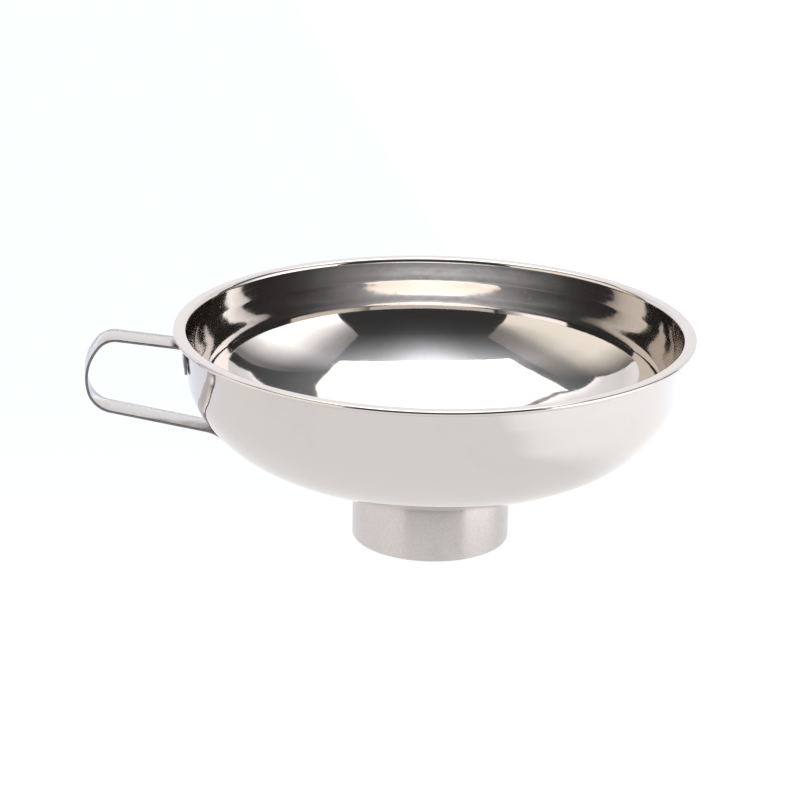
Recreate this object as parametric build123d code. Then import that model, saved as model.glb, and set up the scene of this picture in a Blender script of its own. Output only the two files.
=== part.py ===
from build123d import *

import os
from math import cos, radians, sin, tan

# Stainless canning funnel: a deep round bowl with a folded-over rim, a short straight spout
# under it and a flat strap handle.  Millimetres, +Z up.  The origin is the centre of the spout's
# bottom edge, the ring that the funnel stands on.  The handle points along -X.
#
# Sections are drawn flat, as (distance from the axis, height).  A lean is counted in degrees
# from straight down, towards the axis: 0 is the upright wall and 90 would be a level floor.

# ---------------------------------------------------------------- overall sizes
rim_diameter = 150.0        # over the folded edge
overall_height = 64.0       # bottom edge of the spout to the top of the rim
spout_diameter = 46.0       # outside, to drop into the mouth of a jar
spout_length = 17.0         # straight tube under the bowl

# ---------------------------------------------------------------- bowl, one drawn sheet
sheet = 0.6
hem_gap = 0.2               # left between the folded layers of the rim
hem_return = 1.9            # flat part of the layer that is folded back under the rim
rim_bend = 0.7              # under the flange, at the wall
wall_lean = 3.1             # the upright wall narrows a little on its way down
shoulder_radius = 15.1      # first, tighter curve under the wall
shoulder_inset = 4.0        # rim edge in to the widest reach of that curve
shoulder_lean = 28.3        # where it passes into the belly
belly_radius = 33.7
belly_lean = 61.3           # where the belly passes into the floor
floor_lean = 78.2           # at the collar, so that the floor still drains
collar_bend = 0.8           # outside radius of the bend from the floor into the collar
collar_length = 4.0         # straight part of the collar, down inside the spout

# ---------------------------------------------------------------- spout
spout_wall = 0.6
slip_clearance = 0.1        # radial, spout over the bowl's collar
weld_leg = 0.6              # ring weld under the bowl, out from the spout
weld_hollow = 1.3           # radius of the weld's hollow face

# ---------------------------------------------------------------- handle, one bent strip
strap_width = 10.0
strap_thickness = 0.8
weld_gap = 0.15             # strap to bowl, bridged by the weld metal
root_drop = 3.7             # rim top down to where the strap meets the wall
upper_rise = 8.9            # degrees, the upper arm climbs outwards
lower_fall = 13.9           # degrees, the lower arm falls inwards
knuckle_reach = 18.8        # rim edge out to the grip's first corner
grip_reach = 25.9           # rim edge out to the grip's outer corner
grip_fall = 8.1             # first corner down to the outer corner
heel_tuck = 2.9             # outer corner in to the grip's heel
upper_tab = 8.2             # corner at the wall down to the end of the strip
lower_tab_lean = 53.0       # where on the belly the lower tab touches
lower_tab_above = 5.0       # touching point up to the corner of the lower arm
lower_tab_below = 3.6       # touching point down to the end of the strip
wall_bend = 1.6
knuckle_bend = 5.8
grip_bend = 14.0
heel_bend = 8.3
belly_bend = 10.0
bend_room = 0.97            # share of a straight that the bends at its two ends may use
tab_corner = 1.5            # rounded corners at the two ends of the strip

# ---------------------------------------------------------------- spot welds
spot_diameter = 3.2
spot_pitch = 4.8            # two side by side on each tab
spot_reach = 3.0            # deeper than any gap between strap and bowl


def downhill(lean):
    """Unit step down a wall of this lean."""
    return Vector(-sin(radians(lean)), -cos(radians(lean)))


def outward(lean):
    """Unit step square to a wall of this lean, away from the bowl."""
    return Vector(cos(radians(lean)), -sin(radians(lean)))


# ---------------------------------------------------------------- places on the bowl's outside
rim_radius = rim_diameter / 2
spout_outer = spout_diameter / 2
spout_inner = spout_outer - spout_wall
collar_outer = spout_inner - slip_clearance

collar_centre = Vector(collar_outer + collar_bend, spout_length)
floor_foot = collar_centre - outward(floor_lean) * collar_bend
shoulder_centre_x = rim_radius - shoulder_inset - shoulder_radius
belly_centre_x = shoulder_centre_x - outward(shoulder_lean).X * (belly_radius - shoulder_radius)
belly_end_x = belly_centre_x + outward(belly_lean).X * belly_radius

floor_chord_lean = (belly_lean + floor_lean) / 2
floor_run = belly_end_x - floor_foot.X
floor_chord = floor_run / sin(radians(floor_chord_lean))
floor_radius = floor_chord / 2 / sin(radians(floor_lean - belly_lean) / 2)

belly_end = floor_foot - downhill(floor_chord_lean) * floor_chord
belly_centre = belly_end - outward(belly_lean) * belly_radius
shoulder_centre = belly_centre + outward(shoulder_lean) * (belly_radius - shoulder_radius)
wall_foot = shoulder_centre + outward(wall_lean) * shoulder_radius
flange_under = overall_height - sheet
wall_drop = flange_under - rim_bend * (1 - sin(radians(wall_lean))) - wall_foot.Y
wall_straight = wall_drop / cos(radians(wall_lean))
flange_root_x = wall_foot.X + rim_bend * cos(radians(wall_lean)) + wall_drop * tan(radians(wall_lean))


def on_wall(height):
    """Place on the outside of the upright wall at this height."""
    return wall_foot - downhill(wall_lean) * ((height - wall_foot.Y) / cos(radians(wall_lean)))


def trace(start, heading, steps):
    """Smooth line from start, leaving at heading degrees.  A number is a straight run and a
    (radius, turn) pair is a bend, to the left where the turn is positive."""
    pieces = []
    point = start
    for step in steps:
        if isinstance(step, tuple):
            radius, turn = step
            leaving = Vector(1, 0).rotate(Axis.Z, heading)
            pieces.append(JernArc(point, leaving, radius, turn))
            heading += turn
        else:
            pieces.append(PolarLine(point, step, heading))
        point = pieces[-1] @ 1
    return Wire(pieces)


def turned(section):
    """Body of revolution of a flat section."""
    return revolve(Plane.XZ * section, Axis.Z)


def thickened(steps):
    """The same walk along the sheet's other face, on the right of the given one."""
    return [
        (step[0] + sheet * (1 if step[1] > 0 else -1), step[1]) if isinstance(step, tuple) else step
        for step in steps
    ]


def make_bowl_section():
    """The sheet, followed along its outside face from the folded edge down to the collar."""
    fold_inside = hem_gap / 2
    fold_outside = fold_inside + sheet
    fold_x = rim_radius - fold_outside
    edge = Vector(fold_x - hem_return, flange_under - hem_gap)
    steps = [
        hem_return,
        (fold_inside, 180),
        fold_x - flange_root_x,
        (rim_bend, 90 - wall_lean),
        wall_straight,
        (shoulder_radius, wall_lean - shoulder_lean),
        (belly_radius, shoulder_lean - belly_lean),
        (floor_radius, belly_lean - floor_lean),
        (collar_bend, floor_lean),
        collar_length,
    ]
    outside = trace(edge, 0, steps)
    inside = trace(edge - Vector(0, sheet), 0, thickened(steps))
    ends = [Line(outside @ end, inside @ end) for end in (0, 1)]
    return make_face([*outside.edges(), *inside.edges(), *ends])


def make_spout_section():
    """Straight tube, slipped over the collar up to where the collar starts to bend."""
    wall = Rectangle(spout_wall, spout_length, align=(Align.MIN, Align.MIN))
    return Pos(spout_inner, 0) * wall


def make_ring_weld_section(bowl_section):
    """Metal that fills the corner between the tube's upper end and the floor of the bowl."""
    top = floor_foot.Y + sheet / 2
    root = Vector(spout_inner, spout_length)
    lower_toe = Vector(spout_outer, spout_length)
    upper_toe = Vector(spout_outer + weld_leg, top)
    face = RadiusArc(lower_toe, upper_toe, weld_hollow)
    back = Polyline(upper_toe, (spout_inner, top), root, lower_toe)
    return make_face([*face.edges(), *back.edges()]) - bowl_section


def make_strap_line():
    """Middle line of the strip, from the end of the upper tab round to the end of the lower."""
    off_bowl = weld_gap + strap_thickness / 2
    root = on_wall(overall_height - root_drop) + outward(wall_lean) * off_bowl
    knuckle_x = rim_radius + knuckle_reach
    knuckle = Vector(knuckle_x, root.Y + (knuckle_x - root.X) * tan(radians(upper_rise)))
    outer = Vector(rim_radius + grip_reach, knuckle.Y - grip_fall)
    touch = belly_centre + outward(lower_tab_lean) * (belly_radius + off_bowl)
    landing = touch - downhill(lower_tab_lean) * lower_tab_above
    heel_x = outer.X - heel_tuck
    heel = Vector(heel_x, landing.Y + (heel_x - landing.X) * tan(radians(lower_fall)))
    corners = [
        root + downhill(wall_lean) * upper_tab,
        root,
        knuckle,
        outer,
        heel,
        landing,
        touch + downhill(lower_tab_lean) * lower_tab_below,
    ]
    bends = [wall_bend, knuckle_bend, grip_bend, heel_bend, belly_bend]
    return FilletPolyline(*corners, radius=fitted(corners, bends))


def fitted(corners, bends):
    """The bends, each made smaller where a straight is too short for the two at its ends."""
    legs = [after - before for before, after in zip(corners, corners[1:])]
    turns = [before.get_angle(after) for before, after in zip(legs, legs[1:])]
    used = [bend * tan(radians(turn) / 2) for bend, turn in zip(bends, turns)]
    taken = [before + after for before, after in zip([0, *used], [*used, 0])]
    room = [min(1, bend_room * leg.length / need) for leg, need in zip(legs, taken)]
    return [bend * min(before, after) for bend, before, after in zip(bends, room, room[1:])]


def make_handle():
    """The strip, bent to a loop in the funnel's middle plane."""
    line = Plane.XZ * make_strap_line()
    start = Plane(origin=line @ 0, x_dir=(0, 1, 0), z_dir=line % 0)
    strap = sweep(start * Rectangle(strap_width, strap_thickness), path=line)
    ends = [
        face
        for face in strap.faces().filter_by(GeomType.PLANE)
        if min((face.center() - line @ end).length for end in (0, 1)) < strap_thickness / 2
    ]
    corners = [edge for face in ends for edge in face.edges() if edge.length < strap_width / 2]
    return fillet(corners, tab_corner)


def make_spot_welds(contact, lean, bowl):
    """Two nuggets between the strap and the bowl, side by side at this place and lean."""
    inwards = outward(lean) * -1
    nuggets = []
    for side in (-1, 1):
        place = Plane(
            origin=(contact.X, side * spot_pitch / 2, contact.Y),
            z_dir=(inwards.X, 0, inwards.Y),
        )
        rod = extrude(place * Circle(spot_diameter / 2), amount=spot_reach)
        strap_side = (rod - bowl).solids().sort_by_distance(place.origin)[0]
        nuggets.append(strap_side)
    return Compound(nuggets)


def facing_back(body):
    """The handle side is drawn along +X and belongs along -X."""
    return body.rotate(Axis.Z, 180)


def main():
    bowl_section = make_bowl_section()
    bowl = turned(bowl_section)

    strap_root = on_wall(overall_height - root_drop)
    upper_place = strap_root + downhill(wall_lean) * (upper_tab + wall_bend) / 2
    upper_contact = upper_place + outward(wall_lean) * weld_gap
    lower_contact = belly_centre + outward(lower_tab_lean) * (belly_radius + weld_gap)

    nodes = {
        "bowl": bowl,
        "spout": turned(make_spout_section()),
        "spout_ring_weld": turned(make_ring_weld_section(bowl_section)),
        "handle": facing_back(make_handle()),
        "upper_spot_welds": facing_back(make_spot_welds(upper_contact, wall_lean, bowl)),
        "lower_spot_welds": facing_back(make_spot_welds(lower_contact, lower_tab_lean, bowl)),
    }

    os.makedirs("parts", exist_ok=True)
    for name, body in nodes.items():
        export_step(body, f"parts/{name}.step")
        print(f"{name}: {len(body.solids())} solids, {body.volume:.1f} mm3")
    print(f"straight wall {wall_straight:.2f}, flange root at radius {flange_root_x:.2f}")
    print(f"floor arc {floor_radius:.1f}")


main()
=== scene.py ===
# %% [markdown]
# A stainless canning funnel, built around its CAD frame.
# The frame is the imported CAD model: it gives every place and size, and nothing here moves it.
# All lengths are metres, +Z is up, and the origin is the centre of the ring the funnel stands on.

# %% Load the frame
from math import atan2, ceil, cos, degrees, pi, radians, sin, tan

import bpy
from mathutils import Matrix, Vector


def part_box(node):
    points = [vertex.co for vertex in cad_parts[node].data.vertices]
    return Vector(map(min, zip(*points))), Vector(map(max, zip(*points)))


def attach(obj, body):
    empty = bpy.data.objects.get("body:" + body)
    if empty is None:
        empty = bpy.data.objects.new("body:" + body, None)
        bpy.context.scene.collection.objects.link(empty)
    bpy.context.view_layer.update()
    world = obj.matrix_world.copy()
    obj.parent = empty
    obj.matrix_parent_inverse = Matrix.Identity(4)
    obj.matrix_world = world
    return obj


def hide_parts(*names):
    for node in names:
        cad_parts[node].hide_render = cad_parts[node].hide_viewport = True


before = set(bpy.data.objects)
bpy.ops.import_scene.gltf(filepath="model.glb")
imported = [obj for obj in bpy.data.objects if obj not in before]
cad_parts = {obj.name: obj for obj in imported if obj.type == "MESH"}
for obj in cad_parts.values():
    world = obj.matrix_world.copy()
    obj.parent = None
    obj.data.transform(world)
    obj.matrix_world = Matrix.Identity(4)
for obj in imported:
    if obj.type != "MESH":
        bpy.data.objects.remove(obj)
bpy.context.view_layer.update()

# %% [markdown]
# The funnel's own sizes come from the frame where a node shows them: the rim, the spout and
# the strap. The curves between them are the designer's: a wall, a tight shoulder, a rounder
# belly, and a floor that still falls towards the spout so that it drains.

# %% Sizes
MM = 0.001
rim_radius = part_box("bowl")[1].x
rim_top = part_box("bowl")[1].z
spout_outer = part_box("spout")[1].x
spout_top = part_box("spout")[1].z
strap_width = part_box("handle")[1].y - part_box("handle")[0].y

sheet = 0.6 * MM
hem_gap = 0.2 * MM
hem_return = 1.9 * MM
rim_bend = 0.7 * MM
wall_lean = 3.1
shoulder_radius = 15.1 * MM
shoulder_inset = 4.0 * MM
shoulder_lean = 28.3
belly_radius = 33.7 * MM
belly_lean = 61.3
floor_lean = 78.2
collar_bend = 0.8 * MM
collar_length = 4.0 * MM
slip_clearance = 0.1 * MM

spout_inner = spout_outer - sheet
collar_outer = spout_inner - slip_clearance
print(f"rim {2000 * rim_radius:.1f} mm, top {1000 * rim_top:.1f} mm, spout {2000 * spout_outer:.1f} mm")

# %% [markdown]
# Every round part of the section is an arc, so one small helper draws them all. It walks along
# the section like a turtle: straight runs and bends that leave smoothly, each cut into short
# chords. Short chords matter here, because a mirror finish shows every facet.

# %% Walk along a section
CHORD = 1.0 * MM
BEND_STEP = 6.0


def ahead(heading):
    """Unit step in this direction, in degrees from the outward one."""
    return Vector((cos(radians(heading)), sin(radians(heading))))


def walk(start, heading, steps):
    """Points from start. A number is a straight run, a vector is one step, and a (radius, turn)
    pair is a bend, to the left where the turn is positive. Headings and turns are in degrees."""
    points = [Vector(start)]
    for step in steps:
        if isinstance(step, Vector):
            points.append(points[-1] + step)
        elif isinstance(step, tuple):
            radius, turn = step
            count = max(ceil(abs(turn) / BEND_STEP), ceil(radius * radians(abs(turn)) / CHORD))
            chord = 2 * radius * sin(radians(abs(turn)) / count / 2)
            for _ in range(count):
                heading += turn / count / 2
                points.append(points[-1] + chord * ahead(heading))
                heading += turn / count / 2
        else:
            count = max(1, ceil(step / CHORD))
            for _ in range(count):
                points.append(points[-1] + step / count * ahead(heading))
    return points


def outward(lean):
    """Unit step square to a wall that leans inwards by this many degrees from straight down."""
    return Vector((cos(radians(lean)), -sin(radians(lean))))


def downhill(lean):
    """Unit step down a wall of this lean."""
    return Vector((-sin(radians(lean)), -cos(radians(lean))))


# %% [markdown]
# The wall's straight stretch is what is left once the floor, belly and shoulder have taken
# their share of the height, so it is worked out from the spout upwards.

# %% Places on the bowl's outside face
floor_foot = Vector((collar_outer + collar_bend, spout_top)) - outward(floor_lean) * collar_bend
shoulder_centre_x = rim_radius - shoulder_inset - shoulder_radius
belly_centre_x = shoulder_centre_x - outward(shoulder_lean).x * (belly_radius - shoulder_radius)
belly_end_x = belly_centre_x + outward(belly_lean).x * belly_radius
chord_lean = (belly_lean + floor_lean) / 2
floor_chord = (belly_end_x - floor_foot.x) / sin(radians(chord_lean))
floor_radius = floor_chord / 2 / sin(radians(floor_lean - belly_lean) / 2)
belly_end = floor_foot - downhill(chord_lean) * floor_chord
belly_centre = belly_end - outward(belly_lean) * belly_radius
shoulder_centre = belly_centre + outward(shoulder_lean) * (belly_radius - shoulder_radius)
wall_foot = shoulder_centre + outward(wall_lean) * shoulder_radius
wall_drop = rim_top - sheet - rim_bend * (1 - sin(radians(wall_lean))) - wall_foot.y
wall_straight = wall_drop / cos(radians(wall_lean))
flange_root_x = wall_foot.x + rim_bend * cos(radians(wall_lean)) + wall_drop * tan(radians(wall_lean))

fold_inside = hem_gap / 2
fold_x = rim_radius - fold_inside - sheet
print(f"straight wall {1000 * wall_straight:.2f} mm, floor arc {1000 * floor_radius:.1f} mm")

# %% [markdown]
# The spinning tool leaves the upright wall faintly ringed: its lean changes by a few degrees on
# the way down, which is too little to feel but splits every reflection into bands. The leans
# are listed from the rim downwards, and the outline then follows the sheet's outside face from
# the folded edge of the rim to the end of the collar inside the spout.

# %% Bowl's outline
WALL_LEANS = [0, 0.8, 1.3, 1.7, 2.1, 2.3, 2.3, 2.4, 4.7, 5, 5, 5, 5, 5, 4.3, 4.4, 4.8]
WALL_CHORD = 0.3 * MM


def rippled_wall(length, leans, mean_lean):
    """The wall in short chords. Their lean passes smoothly from one value to the next, and all
    are shifted alike so that the mean lean is right and the wall ends where it should."""
    count = ceil(length / WALL_CHORD)
    smooth = []
    for k in range(count):
        place = (k + 0.5) / count * (len(leans) - 1)
        i = int(place)
        ease = (1 - cos(pi * (place - i))) / 2
        smooth.append(leans[i] + (leans[i + 1] - leans[i]) * ease)
    shift = mean_lean - sum(smooth) / count
    print(f"wall leans from {min(smooth) + shift:.1f} to {max(smooth) + shift:.1f} degrees")
    return [downhill(lean + shift) * (length / count) for lean in smooth]


bowl_outline = walk(
    (fold_x - hem_return, rim_top - sheet - hem_gap),
    0,
    [
        hem_return,
        (fold_inside, 180),
        fold_x - flange_root_x,
        (rim_bend, 90 - wall_lean),
        *rippled_wall(wall_straight, WALL_LEANS, wall_lean),
        (shoulder_radius, wall_lean - shoulder_lean),
        (belly_radius, shoulder_lean - belly_lean),
        (floor_radius, belly_lean - floor_lean),
        (collar_bend, floor_lean),
        collar_length,
    ],
)
print(len(bowl_outline), "rings in the bowl's outline")

# %% [markdown]
# All round pieces are modelled as rings: a circle is added at the first point of the outline,
# and each next ring is extruded from it, moved and scaled to the next point. These helpers do
# that, clean the mesh, apply modifiers, and hand the finished piece to the frame.

# %% Helpers for edit mode
SEGMENTS = 256
DOUBLES = 1e-7
SMOOTH_ANGLE = 35


def start_clean():
    """Nothing selected, and back in object mode."""
    if bpy.context.object and bpy.context.object.mode != "OBJECT":
        bpy.ops.object.mode_set(mode="OBJECT")
    bpy.ops.object.select_all(action="DESELECT")


def just_added(name):
    """Names the new object and takes its place, turn and size into its mesh."""
    piece = bpy.context.object
    piece.name = piece.data.name = name
    bpy.ops.object.transform_apply(location=True, rotation=True, scale=True)
    return piece


def extrude_rings(name, outline):
    """A surface of revolution about Z: one circle, extruded from point to point of the outline."""
    start_clean()
    first = outline[0]
    bpy.ops.mesh.primitive_circle_add(vertices=SEGMENTS, radius=first.x, location=(0, 0, first.y))
    piece = just_added(name)
    bpy.ops.object.mode_set(mode="EDIT")
    bpy.ops.mesh.select_all(action="SELECT")
    for before, after in zip(outline, outline[1:]):
        bpy.ops.mesh.extrude_edges_move(TRANSFORM_OT_translate={"value": (0, 0, after.y - before.y)})
        share = after.x / before.x
        bpy.ops.transform.resize(value=(share, share, 1), center_override=(0, 0, 0))
    return piece


def merge_and_turn():
    """Merges doubles, makes all faces point the same way, and leaves edit mode."""
    bpy.ops.mesh.select_all(action="SELECT")
    bpy.ops.mesh.remove_doubles(threshold=DOUBLES)
    bpy.ops.mesh.normals_make_consistent(inside=False)
    bpy.ops.object.mode_set(mode="OBJECT")


def face_outwards(piece):
    """Cleans the mesh and points its faces out. On an open shell the lowest face decides."""
    merge_and_turn()
    lowest = min(piece.data.polygons, key=lambda face: face.center.z)
    if lowest.normal.xy.dot(lowest.center.xy) < 0:
        bpy.ops.object.mode_set(mode="EDIT")
        bpy.ops.mesh.flip_normals()
        bpy.ops.object.mode_set(mode="OBJECT")


def add_modifier(piece, kind, **settings):
    """Adds a modifier with these settings and applies it."""
    bpy.context.view_layer.objects.active = piece
    modifier = piece.modifiers.new(kind.title(), kind)
    for key, value in settings.items():
        setattr(modifier, key, value)
    bpy.ops.object.modifier_apply(modifier=modifier.name)


def finish_piece(piece, node):
    """Smooth shading, and the piece's place in the frame."""
    start_clean()
    piece.select_set(True)
    bpy.context.view_layer.objects.active = piece
    bpy.ops.object.shade_smooth_by_angle(angle=radians(SMOOTH_ANGLE))
    piece.select_set(False)
    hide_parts(node)
    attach(piece, "root")
    size = [round(length / MM, 2) for length in piece.dimensions]
    print(piece.name, size, "mm,", len(piece.data.polygons), "faces")


# %% [markdown]
# The bowl is spun or drawn from one flat disc of sheet, so its wall is equally thick everywhere.
# That makes it a natural case for Solidify: the outside face is extruded ring by ring, and the
# modifier adds the inside face at the thickness of the sheet.

# %% Bowl
bowl = extrude_rings("bowl_shell", bowl_outline)
face_outwards(bowl)
add_modifier(bowl, "SOLIDIFY", thickness=sheet, offset=-1, use_even_offset=True)
finish_piece(bowl, "bowl")

# %% [markdown]
# The spout is a plain tube, so it starts as a cylinder without caps. Solidify gives it its wall,
# and a very small bevel takes the razor edge off both ends, as a deburring wheel does.

# %% Spout
DEBURR = 0.12 * MM

start_clean()
bpy.ops.mesh.primitive_cylinder_add(
    vertices=SEGMENTS, radius=spout_outer, depth=spout_top, end_fill_type="NOTHING",
    location=(0, 0, spout_top / 2),
)
spout = just_added("spout_tube")
bpy.ops.object.mode_set(mode="EDIT")
face_outwards(spout)
add_modifier(spout, "SOLIDIFY", thickness=sheet, offset=-1, use_even_offset=True)
add_modifier(spout, "BEVEL", width=DEBURR, segments=3, limit_method="ANGLE")
finish_piece(spout, "spout")

# %% [markdown]
# The ring weld fills the corner between tube and bowl. It is the same kind of body, a section
# carried round the axis, but its outline closes on itself, so merging doubles shuts it. Its
# face runs in a soft hollow curve from the toe on the tube to the crown under the bowl.

# %% Ring weld
WELD_STEPS = 8
WELD_LEG = 0.6 * MM
CROWN_OUT, CROWN_UP, HOLLOW_OUT = 0.55 * WELD_LEG, 0.12 * WELD_LEG, 0.10 * WELD_LEG
BACK_UP = 0.25 * sheet

toe = Vector((spout_outer, spout_top))
crown = Vector((spout_outer + CROWN_OUT, floor_foot.y + CROWN_UP))
hollow = Vector((spout_outer + HOLLOW_OUT, (toe.y + crown.y) / 2))
back = Vector((collar_outer + collar_bend, floor_foot.y + BACK_UP))
weld_outline = []
for step in range(WELD_STEPS + 1):
    share = step / WELD_STEPS
    weld_outline.append((1 - share) ** 2 * toe + 2 * share * (1 - share) * hollow + share ** 2 * crown)
weld_outline += [back, Vector((spout_inner, spout_top)), toe]
ring_weld = extrude_rings("ring_weld", weld_outline)
face_outwards(ring_weld)
finish_piece(ring_weld, "spout_ring_weld")

# %% [markdown]
# The handle is one strip of sheet, bent over a former to a loop whose two tabs lie on the bowl.
# Its middle line is given by corners: the upper tab's end, the root under the rim, three corners
# round the grip, the landing on the belly and the lower tab's end. The upper arm climbs a little
# outwards and the lower arm falls inwards, so the corners follow from those two angles.

# %% Handle's corners and bends
strap_thickness = 0.8 * MM
weld_gap = 0.15 * MM
root_drop = 3.7 * MM
upper_rise, lower_fall = 8.9, 13.9
knuckle_reach = 18.8 * MM
grip_reach = 25.9 * MM
grip_fall = 8.1 * MM
heel_tuck = 2.9 * MM
upper_tab = 8.2 * MM
lower_tab_lean = 53.0
lower_tab_above = 5.0 * MM
lower_tab_below = 3.6 * MM
strap_bends = [1.6 * MM, 5.8 * MM, 14.0 * MM, 8.3 * MM, 10.0 * MM]

off_bowl = weld_gap + strap_thickness / 2
root_height = rim_top - root_drop - wall_foot.y
wall_at_root = wall_foot - downhill(wall_lean) * (root_height / cos(radians(wall_lean)))
root = wall_at_root + outward(wall_lean) * off_bowl
knuckle_x = rim_radius + knuckle_reach
knuckle = Vector((knuckle_x, root.y + (knuckle_x - root.x) * tan(radians(upper_rise))))
outer = Vector((rim_radius + grip_reach, knuckle.y - grip_fall))
touch = belly_centre + outward(lower_tab_lean) * (belly_radius + off_bowl)
landing = touch - downhill(lower_tab_lean) * lower_tab_above
heel_x = outer.x - heel_tuck
heel = Vector((heel_x, landing.y + (heel_x - landing.x) * tan(radians(lower_fall))))
strap_corners = [
    root + downhill(wall_lean) * upper_tab, root, knuckle, outer, heel, landing,
    touch + downhill(lower_tab_lean) * lower_tab_below,
]


def runs_and_bends(corners, bends):
    """The straights and the (radius, turn) bends of a line through these corners, in order."""
    legs = [after - before for before, after in zip(corners, corners[1:])]
    headings = [degrees(atan2(leg.y, leg.x)) for leg in legs]
    turns = [(after - before + 180) % 360 - 180 for before, after in zip(headings, headings[1:])]
    used = [0, *(bend * tan(radians(abs(turn)) / 2) for bend, turn in zip(bends, turns)), 0]
    runs = [leg.length - before - after for leg, before, after in zip(legs, used, used[1:])]
    steps = [runs[0]]
    for bend, turn, run in zip(bends, turns, runs[1:]):
        steps += [(bend, turn), run]
    return steps


strap_steps = runs_and_bends(strap_corners, strap_bends)
runs = [round(step / MM, 2) for step in strap_steps if not isinstance(step, tuple)]
print("strap runs", runs, "mm")

# %% [markdown]
# The strip starts as a plane that covers the first straight, against the wall. Its leading edge
# is then extruded for each straight and spun for each bend, just as the strip is fed and bent.
# At the end, its place is printed beside the planned corner: the two must agree.

# %% Handle strip
BEND_FACES = 5.0
TOUCH = 1e-6

start_clean()
first_run = strap_steps[0]
first_end = strap_corners[0] - downhill(wall_lean) * first_run
middle = (strap_corners[0] + first_end) / 2
bpy.ops.mesh.primitive_plane_add(size=1, location=(middle.x, 0, middle.y))
bpy.context.object.rotation_euler.y = radians(90 + wall_lean)
bpy.context.object.scale = (first_run, strap_width, 1)
handle = just_added("strap_handle")

bpy.ops.object.mode_set(mode="EDIT")
bpy.ops.mesh.select_all(action="DESELECT")
bpy.ops.object.mode_set(mode="OBJECT")
for vertex in handle.data.vertices:
    vertex.select = abs(vertex.co.z - first_end.y) < TOUCH
for edge in handle.data.edges:
    edge.select = all(handle.data.vertices[i].select for i in edge.vertices)
bpy.ops.object.mode_set(mode="EDIT")
bpy.ops.mesh.select_mode(type="EDGE")

heading = 90.0 - wall_lean
place = first_end
for step in strap_steps[1:]:
    if isinstance(step, tuple):
        radius, turn = step
        centre = place + radius * ahead(heading + (90 if turn > 0 else -90))
        bpy.ops.mesh.spin(
            steps=max(3, ceil(abs(turn) / BEND_FACES)), dupli=False, angle=radians(turn),
            center=(centre.x, 0, centre.y), axis=(0, 1, 0),
        )
        spoke = place - centre
        spoke.rotate(Matrix.Rotation(radians(turn), 2))
        place = centre + spoke
        heading += turn
    else:
        move = step * ahead(heading)
        bpy.ops.mesh.extrude_edges_move(TRANSFORM_OT_translate={"value": (move.x, 0, move.y)})
        place = place + move
print("strip ends at", [round(x / MM, 2) for x in place], "mm")
print("planned end ", [round(x / MM, 2) for x in strap_corners[-1]], "mm")

# %% [markdown]
# The strip's four end corners are rounded with a vertex bevel while it has no thickness yet. The
# strip was drawn along +X because that is easier to read, and half a turn puts it where it
# belongs. Then it gets its thickness, half to each side, and a fine bevel softens the edges.

# %% Handle's rounded corners, thickness and edges
TAB_CORNER = 1.5 * MM
EDGE_ROUND = 0.12 * MM

bpy.ops.mesh.select_mode(type="VERT")
bpy.ops.mesh.select_all(action="DESELECT")
bpy.ops.object.mode_set(mode="OBJECT")
for vertex in handle.data.vertices:
    flat = Vector((vertex.co.x, vertex.co.z))
    vertex.select = min((flat - end).length for end in (strap_corners[0], strap_corners[-1])) < EDGE_ROUND
bpy.ops.object.mode_set(mode="EDIT")
bpy.ops.mesh.bevel(affect="VERTICES", offset=TAB_CORNER, segments=6)
merge_and_turn()
handle.rotation_euler.z = radians(180)
bpy.ops.object.transform_apply(location=True, rotation=True, scale=True)
add_modifier(handle, "SOLIDIFY", thickness=strap_thickness, offset=0, use_even_offset=True)
add_modifier(handle, "BEVEL", width=EDGE_ROUND, segments=2, limit_method="ANGLE")

# %% [markdown]
# A spot welder squeezes strap and bowl between two copper electrodes, and their round tips leave
# shallow dimples in the strap. Each is cut with a flattened sphere whose middle lies on the
# strap's outer face, so that only its lower half bites in.

# %% Electrode dimples
DIMPLE_RADIUS, DIMPLE_DEPTH, DIMPLE_PITCH = 1.6 * MM, 0.15 * MM, 4.8 * MM


def press_dimples(node, lean):
    """Two shallow dimples in the strap's outer face, over the welds of this CAD node."""
    low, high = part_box(node)
    middle = (low + high) / 2
    away = Vector((-cos(radians(lean)), 0, -sin(radians(lean))))
    face_above = weld_gap / 2 + strap_thickness
    for side in (-1, 1):
        start_clean()
        centre = Vector((middle.x, side * DIMPLE_PITCH / 2, middle.z)) + away * face_above
        bpy.ops.mesh.primitive_uv_sphere_add(
            segments=48, ring_count=24, radius=DIMPLE_RADIUS, location=centre,
        )
        tip = bpy.context.object
        tip.scale.z = DIMPLE_DEPTH / DIMPLE_RADIUS
        tip.rotation_euler = away.to_track_quat("Z", "Y").to_euler()
        add_modifier(handle, "BOOLEAN", operation="DIFFERENCE", solver="EXACT", object=tip)
        bpy.data.objects.remove(tip)
    print("dimples over", node, "leave", len(handle.data.polygons), "faces in the strap")


press_dimples("upper_spot_welds", wall_lean)
press_dimples("lower_spot_welds", lower_tab_lean)
finish_piece(handle, "handle")

# %% [markdown]
# Every finish below is a small network of shader nodes. These helpers keep that readable: one
# adds a node with its options and links in a single line, and the others wrap the nodes that
# come up again and again.

# %% Helpers for shader nodes
def fill_inputs(tree, node, inputs):
    """Links or fills a node's inputs, given as (socket, value) pairs."""
    for socket, value in inputs:
        if isinstance(value, bpy.types.NodeSocket):
            tree.links.new(value, node.inputs[socket])
        else:
            node.inputs[socket].default_value = value


def shader_node(tree, kind, inputs=(), **settings):
    """Adds a node, sets its options, and links or fills its inputs."""
    node = tree.nodes.new("ShaderNode" + kind)
    for key, value in settings.items():
        setattr(node, key, value)
    fill_inputs(tree, node, inputs)
    return node


def calculate(tree, operation, *values):
    """One value worked out from others."""
    return shader_node(tree, "Math", enumerate(values), operation=operation).outputs[0]


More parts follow.
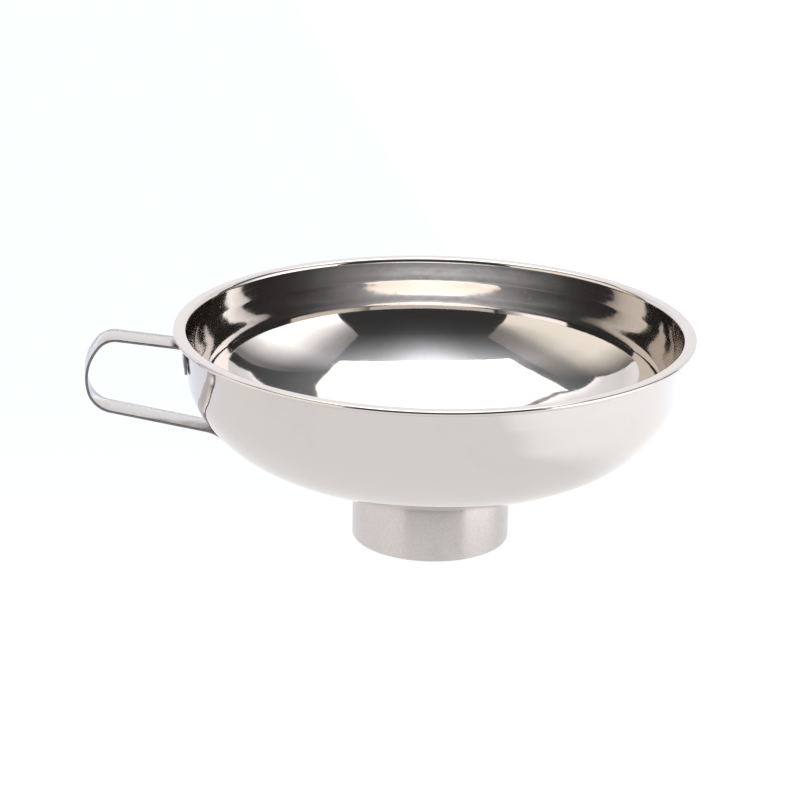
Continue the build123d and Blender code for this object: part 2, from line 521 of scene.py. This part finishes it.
def add(tree, first, *others):
    """The sum of all these values."""
    for other in others:
        first = calculate(tree, "ADD", first, other)
    return first


def share_between(tree, value, low, high, **settings):
    """0 where the value is low or less, 1 where it is high or more."""
    return shader_node(tree, "MapRange", [(0, value), (1, low), (2, high)], **settings).outputs[0]


def product(tree, first, second):
    """Two colours or vectors multiplied, channel by channel."""
    return shader_node(tree, "VectorMath", [(0, first), (1, second)], operation="MULTIPLY").outputs[0]


def ramp(tree, value, stops):
    """The colour for this value on a ramp of (position, colour) stops. A number stands for a gray."""
    node = shader_node(tree, "ValToRGB", [(0, value)])
    elements = node.color_ramp.elements
    while len(elements) < len(stops):
        elements.new(0.5)
    for element, (position, colour) in zip(elements, stops):
        element.position = position
        element.color = (*colour, 1) if isinstance(colour, tuple) else (colour, colour, colour, 1)
    return node.outputs["Color"]


def noise(tree, place, scale, detail, output="Fac", **settings):
    """Procedural noise at this place."""
    inputs = [("Vector", place), ("Scale", scale), ("Detail", detail), *settings.items()]
    return shader_node(tree, "TexNoise", inputs).outputs[output]


def axes(tree, place):
    """The X, Y and Z of a place, each by its name."""
    return shader_node(tree, "SeparateXYZ", [(0, place)]).outputs


# %% [markdown]
# Steel shows its surroundings and almost nothing of itself, so the room is half of the finish.
# First comes a white table, which the outside of the bowl mirrors. It glows by itself, a little
# brighter to the right, where the lamp is stronger, and faintly blue behind, where daylight
# reaches it. Both ramps stand at one half for plain white, so that they can also go above it.

# %% Table
TABLE_RADIANCE = 1.0
TABLE_RADIUS = 12
TABLE_SPREAD = 0.24
TABLE_RIGHT = [
    (0.23, 0.5), (0.34, (0.6, 0.6, 0.605)), (0.46, (0.64, 0.64, 0.645)), (0.75, (0.67, 0.67, 0.685)),
]
TABLE_BACK = [(0.1, 0.5), (0.45, (0.49, 0.505, 0.56))]

start_clean()
bpy.ops.mesh.primitive_circle_add(vertices=64, radius=TABLE_RADIUS, fill_type="NGON", location=(0, 0, 0))
floor = bpy.context.object
floor.name = floor.data.name = "white_table"
table = bpy.data.materials.new("white_table")
table.use_nodes = True
tree = table.node_tree
tree.nodes.clear()
across = axes(tree, shader_node(tree, "TexCoord").outputs["Object"])
rightwards = share_between(tree, across["X"], 0.0, TABLE_SPREAD)
backwards = share_between(tree, across["Y"], 0.0, TABLE_SPREAD)
glow = product(tree, ramp(tree, rightwards, TABLE_RIGHT), ramp(tree, backwards, TABLE_BACK))
surface = shader_node(tree, "Emission", [("Color", glow), ("Strength", 4 * TABLE_RADIANCE)])
shader_node(tree, "OutputMaterial", [("Surface", surface.outputs[0])])
floor.data.materials.append(table)
print(f"table of {2 * TABLE_RADIUS} m, brightest within {TABLE_SPREAD} m to the right")

# %% [markdown]
# Three soft boxes and a pale wall stand round the table: one box overhead and a little behind,
# a warm one on the left, a cooler one on the right. In a mirror only the angle of a lamp counts,
# so each is given by its distance, and its size and place are shares of that. The cloth of the
# side boxes is brightest below and dies away upwards and to the back, for soft-edged patches.

# %% Soft boxes
OVERHEAD, SIDE, REAR = 1.6, 1.3, 1.6
SIDE_TOP = 1.8 * SIDE
CREAM, WARM, COOL, PALE = (1.0, 0.93, 0.81), (1.0, 0.93, 0.83), (1.0, 0.99, 0.99), (1.0, 0.99, 1.0)


def soft_box(name, centre, facing, width, height, radiance, tint, fade=(), fade_back=((0, 1), (1, 1))):
    """A rectangular area light that the steel can see and the camera can't. fade lists how much
    of its radiance is left at each share of its height, as on cloth that is lit from below, and
    fade_back does the same along its width, from its front end to its back end."""
    bpy.ops.object.light_add(type="AREA", location=centre)
    light = bpy.context.object
    light.name = light.data.name = name
    light.rotation_euler = Vector(facing).to_track_quat("-Z", "Y").to_euler()
    light.data.shape = "RECTANGLE"
    light.data.size, light.data.size_y = width, height
    light.data.color = tint
    light.data.energy = radiance * pi * width * height
    light.visible_camera = False
    if fade:
        light.data.use_nodes = True
        tree = light.data.node_tree
        shares = axes(tree, shader_node(tree, "NewGeometry").outputs["Parametric"])
        share_back = shares["X"]
        if facing[0] > 0:
            share_back = calculate(tree, "SUBTRACT", 1.0, shares["X"])
        left = product(tree, ramp(tree, shares["Y"], fade), ramp(tree, share_back, fade_back))
        tree.links.new(left, tree.nodes["Emission"].inputs["Color"])
    print(name, f"{width:.2f} x {height:.2f} m, radiance {radiance}")


soft_box(
    "overhead_box", (0.035 * OVERHEAD, 0.3425 * OVERHEAD, rim_top + OVERHEAD), (0, 0, -1),
    0.99 * OVERHEAD, 0.755 * OVERHEAD, 2.15, CREAM,
)
soft_box(
    "left_box", (-SIDE, -0.065 * SIDE, SIDE_TOP / 2), (1, 0, 0), 1.81 * SIDE, SIDE_TOP, 1.3, WARM,
    fade=[(0, 1), (0.33, 0.91), (0.4, 0.85), (0.47, 0.7), (0.54, 0.56), (0.62, 0.32), (0.7, 0.2), (1, 0.12)],
    fade_back=[(0, 1), (0.7, 1), (0.82, 0.6), (0.97, 0.08)],
)
soft_box(
    "right_box", (SIDE, -0.41 * SIDE, SIDE_TOP / 2), (-1, 0, 0), 1.55 * SIDE, SIDE_TOP, 2.4, COOL,
    fade=[
        (0, 1), (0.3, 0.92), (0.45, 0.63), (0.58, 0.43), (0.64, 0.32), (0.74, 0.2), (0.86, 0.13), (1, 0.08),
    ],
    fade_back=[(0, 1), (0.66, 1), (0.8, 0.5), (0.95, 0.1)],
)
soft_box(
    "pale_wall", (0.4 * REAR, REAR, 0.68 * REAR), (0, -1, 0), 3.4 * REAR, 1.36 * REAR, 1.5, PALE,
    fade=[(0, 0.66), (0.35, 0.75), (0.55, 0.62), (0.85, 0.66), (1, 1)],
)

# %% [markdown]
# What is left is the room itself. The side the viewer stands on stays dark, which gives the bowl
# its deep contrast, and a bluish glow hangs above, strongest straight overhead. The two lists
# give the glow at an angle from the zenith, first from front to back and then sideways. The
# camera itself sees plain white instead, as on a catalogue page.

# %% Room
ROOM = 0.05
GLOW_TINT = (0.5, 0.53, 0.57)
FRONT_BACK_REACH, SIDEWAYS_REACH = 60, 90
FRONT_BACK = [
    (-60, 0.0), (-50, 0.01), (-42, 0.03), (-36, 0.08), (-29, 0.26), (-22, 0.52), (-15, 0.9),
    (-7, 1.4), (0, 1.7), (12, 0.8), (24, 0.7), (36, 0.5), (50, 0.2), (60, 0.05),
]
SIDEWAYS = [
    (0, 1.0), (4, 0.95), (8, 0.78), (12, 0.6), (16, 0.45), (22, 0.36), (28, 0.26), (40, 0.12),
    (60, 0.04), (90, 0),
]

front_back_stops = [
    ((degree + FRONT_BACK_REACH) / (2 * FRONT_BACK_REACH), tuple(channel * left for channel in GLOW_TINT))
    for degree, left in FRONT_BACK
]
sideways_stops = [(degree / SIDEWAYS_REACH, left) for degree, left in SIDEWAYS]

world = bpy.data.worlds.new("studio_room")
bpy.context.scene.world = world
world.use_nodes = True
tree = world.node_tree
tree.nodes.clear()
direction = axes(tree, shader_node(tree, "TexCoord").outputs["Generated"])
along = calculate(tree, "ARCTAN2", direction["Y"], direction["Z"])
along = share_between(tree, along, radians(-FRONT_BACK_REACH), radians(FRONT_BACK_REACH))
sideways = calculate(tree, "ARCSINE", calculate(tree, "ABSOLUTE", direction["X"]))
sideways = share_between(tree, sideways, 0.0, radians(SIDEWAYS_REACH))
glow = product(tree, ramp(tree, along, front_back_stops), ramp(tree, sideways, sideways_stops))
glow = shader_node(tree, "VectorMath", [(0, glow), (1, (ROOM / 2,) * 3)], operation="ADD").outputs[0]
room = shader_node(tree, "Background", [("Color", glow), ("Strength", 2.0)]).outputs[0]
backdrop = shader_node(tree, "Background", [("Color", (1, 1, 1, 1))]).outputs[0]
seen = shader_node(tree, "LightPath").outputs["Is Camera Ray"]
mixed = shader_node(tree, "MixShader", [(0, seen), (1, room), (2, backdrop)]).outputs[0]
shader_node(tree, "OutputWorld", [("Surface", mixed)])
print(f"room radiance {ROOM}, glow up to {2 * max(GLOW_TINT) * max(left for _, left in FRONT_BACK):.2f}")

# %% [markdown]
# The view is a product view from a little above the rim, slightly to the left of straight ahead,
# with a long lens so that the far rim is hardly smaller than the near one. The middle of the
# rim is a little right of and above the middle of the view, which makes room for the handle.

# %% Camera
DISTANCE = 0.633
AZIMUTH, ELEVATION, ROLL = -9.5, 17.28, 1.437
RIM_RIGHT, RIM_UP = 0.910, 1.954
SENSOR, LENS, FAR_END = 36, 99.05, 50
BOUNCES = 16

toward_camera = Vector((
    sin(radians(AZIMUTH)) * cos(radians(ELEVATION)),
    -cos(radians(AZIMUTH)) * cos(radians(ELEVATION)),
    sin(radians(ELEVATION)),
))
bpy.ops.object.camera_add(location=Vector((0, 0, rim_top)) + DISTANCE * toward_camera)
camera = bpy.context.object
camera.data.sensor_width, camera.data.lens, camera.data.clip_end = SENSOR, LENS, FAR_END
aim = Vector((tan(radians(RIM_RIGHT)), tan(radians(RIM_UP)), -1)).rotation_difference(Vector((0, 0, -1)))
look = (-toward_camera).to_track_quat("-Z", "Y")
roll = Matrix.Rotation(radians(ROLL), 3, "Z")
camera.rotation_euler = (look.to_matrix() @ roll @ aim.to_matrix()).to_euler()
scene = bpy.context.scene
scene.camera = camera
scene.view_settings.view_transform = "Standard"
scene.cycles.max_bounces = scene.cycles.glossy_bounces = BOUNCES
print(f"camera {DISTANCE} m from the rim's centre, {ELEVATION} degrees up, {LENS} mm lens")

# %% [markdown]
# Wear and tool marks that more than one finish uses are node groups, which take a place and give
# plain values. This helper starts one: it adds the sockets and the two nodes at its ends.

# %% Helper for node groups
FLOAT, VECTOR, COLOUR = "NodeSocketFloat", "NodeSocketVector", "NodeSocketColor"


def new_group(name, inputs, outputs):
    """A shader node group with these sockets: its tree, its given values and its result node."""
    tree = bpy.data.node_groups.new(name, "ShaderNodeTree")
    for socket, kind, value in inputs:
        item = tree.interface.new_socket(name=socket, in_out="INPUT", socket_type=kind)
        if value is not None:
            item.default_value = value
    for socket, kind in outputs:
        tree.interface.new_socket(name=socket, in_out="OUTPUT", socket_type=kind)
    return tree, tree.nodes.new("NodeGroupInput").outputs, tree.nodes.new("NodeGroupOutput")


# %% [markdown]
# A spun bowl is turned against a tool, and every pass leaves faint rings about the axis. The
# rings are read from the distance to the axis and the height only, so they close round the
# bowl without a seam, and a slow noise makes them come and go as real tool marks do.

# %% Group: spin marks
tree, given, result = new_group(
    "spin_marks",
    [("Vector", VECTOR, None), ("Rings per metre", FLOAT, 1500.0), ("Wander", FLOAT, 0.6)],
    [("Height", FLOAT), ("Marks", FLOAT)],
)
parts = axes(tree, given["Vector"])
flat = shader_node(tree, "CombineXYZ", [(0, parts["X"]), (1, parts["Y"])]).outputs[0]
radius = shader_node(tree, "VectorMath", [(0, flat)], operation="LENGTH").outputs["Value"]
slow = calculate(tree, "MULTIPLY", noise(tree, given["Vector"], 35.0, 1.0), given["Wander"])
across = calculate(tree, "MULTIPLY", radius, given["Rings per metre"])
upwards = calculate(tree, "MULTIPLY", parts["Z"], given["Rings per metre"])
ring_place = shader_node(tree, "CombineXYZ", [(0, across), (1, upwards), (2, slow)]).outputs[0]
rings = noise(tree, ring_place, 1.0, 1.5)
tree.links.new(rings, result.inputs["Height"])
tree.links.new(share_between(tree, rings, 0.45, 0.75), result.inputs["Marks"])
print("group", tree.name, "with", len(tree.nodes), "nodes")

# %% [markdown]
# Handling leaves a bright finish slightly uneven: large dull patches where hands and cloths have
# wiped it, and tiny specks where water has dried. This group gives each as a mask. The patches'
# places are bent by a second noise, which makes them look wiped and not blotted.

# %% Group: handling marks
WIPE = 0.02
RARE = 0.93

tree, given, result = new_group(
    "handling_marks",
    [("Vector", VECTOR, None), ("Patch scale", FLOAT, 45.0), ("Speck scale", FLOAT, 900.0)],
    [("Patches", FLOAT), ("Specks", FLOAT)],
)
warp = noise(tree, given["Vector"], 60.0, 2.0, output="Color")
bent = shader_node(
    tree, "VectorMath", [(0, warp), (1, (WIPE, WIPE, WIPE)), (2, given["Vector"])], operation="MULTIPLY_ADD",
).outputs[0]
patches = noise(tree, bent, given["Patch scale"], 4.0, Roughness=0.55)
patches = share_between(tree, patches, 0.5, 0.72, interpolation_type="SMOOTHSTEP")
cells = shader_node(tree, "TexVoronoi", [("Vector", given["Vector"]), ("Scale", given["Speck scale"])])
draw = shader_node(tree, "SeparateColor", [(0, cells.outputs["Color"])]).outputs[0]
sparse = calculate(tree, "GREATER_THAN", draw, RARE)
dots = share_between(tree, cells.outputs["Distance"], 0.3, 0.1)
tree.links.new(patches, result.inputs["Patches"])
tree.links.new(calculate(tree, "MULTIPLY", dots, sparse), result.inputs["Specks"])
print("group", tree.name, "with", len(tree.nodes), "nodes")

# %% [markdown]
# Fine scratches are long thin streaks of noise. Stretching the coordinates along one direction
# draws them out, and a threshold keeps only the strongest, so a few lines stand alone.

# %% Group: fine scratches
LINE_SOFTNESS = 0.06

tree, given, result = new_group(
    "fine_scratches",
    [
        ("Vector", VECTOR, None), ("Stretch", VECTOR, (60.0, 2500.0, 2500.0)), ("Turn", FLOAT, 0.4),
        ("Threshold", FLOAT, 0.66),
    ],
    [("Scratches", FLOAT), ("Grain", FLOAT)],
)
turned = shader_node(
    tree, "VectorRotate", [("Vector", given["Vector"]), ("Angle", given["Turn"])], rotation_type="Z_AXIS",
).outputs[0]
streaks = noise(tree, product(tree, turned, given["Stretch"]), 1.0, 2.0)
full = add(tree, given["Threshold"], LINE_SOFTNESS)
tree.links.new(share_between(tree, streaks, given["Threshold"], full), result.inputs["Scratches"])
tree.links.new(streaks, result.inputs["Grain"])
print("group", tree.name, "with", len(tree.nodes), "nodes")

# %% [markdown]
# Weld heat leaves a dull straw-gray tint that dies away within a few millimetres. On the spout the same
# darkening also stands for the shade in the corner under the bowl, so there it is partly painted shade. The
# group takes how near a point is to the weld, from 0 to 1, and gives the tint to multiply with.

# %% Group: heat tint and painted shade
HEAT_AND_SHADE_STOPS = [(0.0, 1), (0.4, (0.95, 0.945, 0.93)), (0.75, (0.8, 0.79, 0.765)), (1.0, (0.66, 0.655, 0.64))]

tree, given, result = new_group("heat_tint_and_shade", [("Nearness", FLOAT, 0.0)], [("Tint", COLOUR)])
tree.links.new(ramp(tree, given["Nearness"], HEAT_AND_SHADE_STOPS), result.inputs["Tint"])
print("group", tree.name, "with", len(tree.nodes), "nodes")

# %% [markdown]
# The helpers below start a steel with its constants set on the shader itself, mix two values by
# a mask, and turn a height into a bump. Polished 18/8 steel reflects about six tenths of the
# light, a little more red than blue, which is why it looks warm after several reflections.

# %% Helpers for the finishes
STEEL = (0.645, 0.61, 0.59)
MICRON = 1e-6


def group_node(tree, name, **inputs):
    """Places a node group. An input's name is written with _ for each space."""
    node = tree.nodes.new("ShaderNodeGroup")
    node.node_tree = bpy.data.node_groups[name]
    fill_inputs(tree, node, [(socket.replace("_", " "), value) for socket, value in inputs.items()])
    return node.outputs


def new_steel(name, **constants):
    """A metal whose constants sit on its Principled shader: material, tree, shader and place."""
    material = bpy.data.materials.new(name)
    material.use_nodes = True
    tree = material.node_tree
    shader = tree.nodes["Principled BSDF"]
    shader.inputs["Metallic"].default_value = 1.0
    fill_inputs(tree, shader, [(socket.replace("_", " "), value) for socket, value in constants.items()])
    return material, tree, shader, shader_node(tree, "TexCoord").outputs["Object"]


def mix(tree, mask, low, high):
    """Low where the mask is 0 and high where it is 1."""
    return shader_node(tree, "MapRange", [(0, mask), (3, low), (4, high)]).outputs[0]


def mix_colour(tree, mask, low, high, blend="MIX"):
    """Two colours, blended by the mask."""
    colours = [
        (socket, (*value, 1) if isinstance(value, tuple) else value)
        for socket, value in ((6, low), (7, high))
    ]
    return shader_node(tree, "Mix", [(0, mask), *colours], data_type="RGBA", blend_type=blend).outputs[2]


def bump(tree, height, distance, below=None):
    """A bump of this many metres, on top of another one if given."""
    inputs = [("Height", height), ("Distance", distance), ("Strength", 1.0)]
    if below is not None:
        inputs.append(("Normal", below))
    return shader_node(tree, "Bump", inputs).outputs[0]


def connect(tree, shader, colour, rough, normal):
    """Links the three things that every steel here varies."""
    for socket, value in (("Base Color", colour), ("Roughness", rough), ("Normal", normal)):
        tree.links.new(value, shader.inputs[socket])


def dress(piece, material):
    """Gives a piece or a CAD node this material and nothing else."""
    piece.data.materials.clear()
    piece.data.materials.append(material)


# %% [markdown]
# The bowl is polished to a mirror. What makes it steel and not chrome is what breaks the mirror:
# very shallow rings from the spinning tool, which make the edges of each reflection waver, dull
# patches from wiping, and a few hairline scratches.

# %% Finish: mirror steel
WIPED = (0.625, 0.592, 0.575)

mirror, tree, shader, place = new_steel("mirror_steel")
spin = group_node(tree, "spin_marks", Vector=place, Rings_per_metre=900.0, Wander=1.5)
hands = group_node(tree, "handling_marks", Vector=place)
lines = group_node(tree, "fine_scratches", Vector=place, Stretch=(50.0, 2600.0, 2600.0), Threshold=0.68)
rough = add(
    tree,
    mix(tree, hands["Patches"], 0.045, 0.075),
    mix(tree, spin["Marks"], 0.0, 0.03),
    mix(tree, lines["Scratches"], 0.0, 0.10),
    mix(tree, hands["Specks"], 0.0, 0.12),
)
colour = mix_colour(tree, hands["Patches"], STEEL, WIPED)
waver = bump(tree, noise(tree, place, 120.0, 2.0), 30 * MICRON)
connect(tree, shader, colour, rough, bump(tree, spin["Height"], 1.2 * MICRON, waver))
dress(bowl, mirror)
print("mirror steel:", len(tree.nodes), "nodes")

# %% [markdown]
# The spout isn't polished but brushed round its axis, which gives a satin: a fine grain all over, and
# highlights that are drawn out upright, square to the brush marks. That is what anisotropic roughness does,
# so lamps at the side show as soft upright stripes. Near the weld, under the bowl, it is darkened: partly a
# heat tint, partly painted shade.

# %% Finish: satin steel
HEAT_AND_SHADE_REACH = 4 * MM
GRAIN_SCALE = 1500.0
DARK_GRAIN, LIGHT_GRAIN, SATIN = (0.59, 0.548, 0.536), (0.69, 0.643, 0.63), (0.66, 0.62, 0.61)

satin, tree, shader, place = new_steel("satin_steel", Anisotropic=0.92, Anisotropic_Rotation=0.25)
spin = group_node(tree, "spin_marks", Vector=place, Rings_per_metre=3200.0, Wander=6.0)
hands = group_node(tree, "handling_marks", Vector=place, Patch_scale=90.0)
grain = noise(tree, place, GRAIN_SCALE, 3.0)
speckle = share_between(tree, noise(tree, place, GRAIN_SCALE, 4.0), 0.35, 0.65)
colour = mix_colour(tree, 0.35, mix_colour(tree, speckle, DARK_GRAIN, LIGHT_GRAIN), SATIN)
# Painted shade: the top few millimetres of the spout, under the bowl, are darkened here, partly as a weld
# heat tint.
near_weld = share_between(
    tree, axes(tree, place)["Z"], spout_top - HEAT_AND_SHADE_REACH, spout_top, interpolation_type="SMOOTHSTEP",
)
tint = group_node(tree, "heat_tint_and_shade", Nearness=near_weld)["Tint"]
colour = mix_colour(tree, 1.0, colour, tint, "MULTIPLY")
rough = add(tree, mix(tree, grain, 0.28, 0.36), mix(tree, hands["Patches"], 0.0, 0.05))
connect(tree, shader, colour, rough, bump(tree, spin["Height"], 4 * MICRON, bump(tree, grain, 4 * MICRON)))
dress(spout, satin)
print("satin steel:", len(tree.nodes), "nodes")

# %% [markdown]
# The strap is cut from bright sheet and tumbled after bending, so it is a little duller than the
# bowl, and fine lines are drawn along it.

# %% Finish: strap steel
TUMBLED, HANDLED = (0.55, 0.53, 0.525), (0.49, 0.47, 0.465)

strap, tree, shader, place = new_steel("strap_steel")
lines = group_node(
    tree, "fine_scratches", Vector=place, Stretch=(70.0, 1800.0, 70.0), Turn=0.0, Threshold=0.6,
)
hands = group_node(tree, "handling_marks", Vector=place, Patch_scale=120.0)
rough = add(
    tree,
    mix(tree, lines["Grain"], 0.14, 0.24),
    mix(tree, hands["Patches"], 0.0, 0.06),
    mix(tree, lines["Scratches"], 0.0, 0.05),
)
colour = mix_colour(tree, hands["Patches"], TUMBLED, HANDLED)
connect(tree, shader, colour, rough, bump(tree, lines["Grain"], 4 * MICRON))
dress(handle, strap)
print("strap steel:", len(tree.nodes), "nodes")

# %% [markdown]
# The strip's sheared edges are another finish altogether: torn metal, dark and rough. They are
# the faces that look sideways, so they are found by their normals.

# %% Finish: sheared edges
SIDEWAYS_FACE = 0.8
TORN_DARK, TORN_LIGHT = (0.10, 0.095, 0.095), (0.30, 0.285, 0.28)

sheared, tree, shader, place = new_steel("sheared_edge")
lines = group_node(tree, "fine_scratches", Vector=place, Stretch=(300.0, 3000.0, 900.0), Turn=0.0)
torn = noise(tree, place, 1400.0, 3.0)
colour = mix_colour(tree, lines["Grain"], TORN_DARK, TORN_LIGHT)
connect(tree, shader, colour, mix(tree, torn, 0.3, 0.5), bump(tree, torn, 6 * MICRON))
handle.data.materials.append(sheared)
cut = [face for face in handle.data.polygons if abs(face.normal.y) > SIDEWAYS_FACE]
for face in cut:
    face.material_index = 1
print("sheared edges:", len(tree.nodes), "nodes on", len(cut), "faces")

# %% [markdown]
# Welds are left as they cooled. The ring weld has fine ripples across its bead and a straw tint,
# and the four spots under the strap are darker, because nobody polishes where nobody sees.

# %% Finish: weld steel
WELD_METAL = (0.60, 0.57, 0.55)

weld, tree, shader, place = new_steel("weld_steel")
beads = group_node(tree, "spin_marks", Vector=place, Rings_per_metre=4000.0, Wander=9.0)
ripple = noise(tree, place, 700.0, 2.0)
tint = group_node(tree, "heat_tint_and_shade", Nearness=mix(tree, ripple, 0.15, 0.85))["Tint"]
colour = mix_colour(tree, 1.0, WELD_METAL, tint, "MULTIPLY")
normal = bump(tree, ripple, 20 * MICRON, bump(tree, beads["Height"], 4 * MICRON))
connect(tree, shader, colour, mix(tree, ripple, 0.16, 0.34), normal)
dress(ring_weld, weld)
for name in ("upper_spot_welds", "lower_spot_welds"):
    dress(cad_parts[name], weld)
print("weld steel:", len(tree.nodes), "nodes")
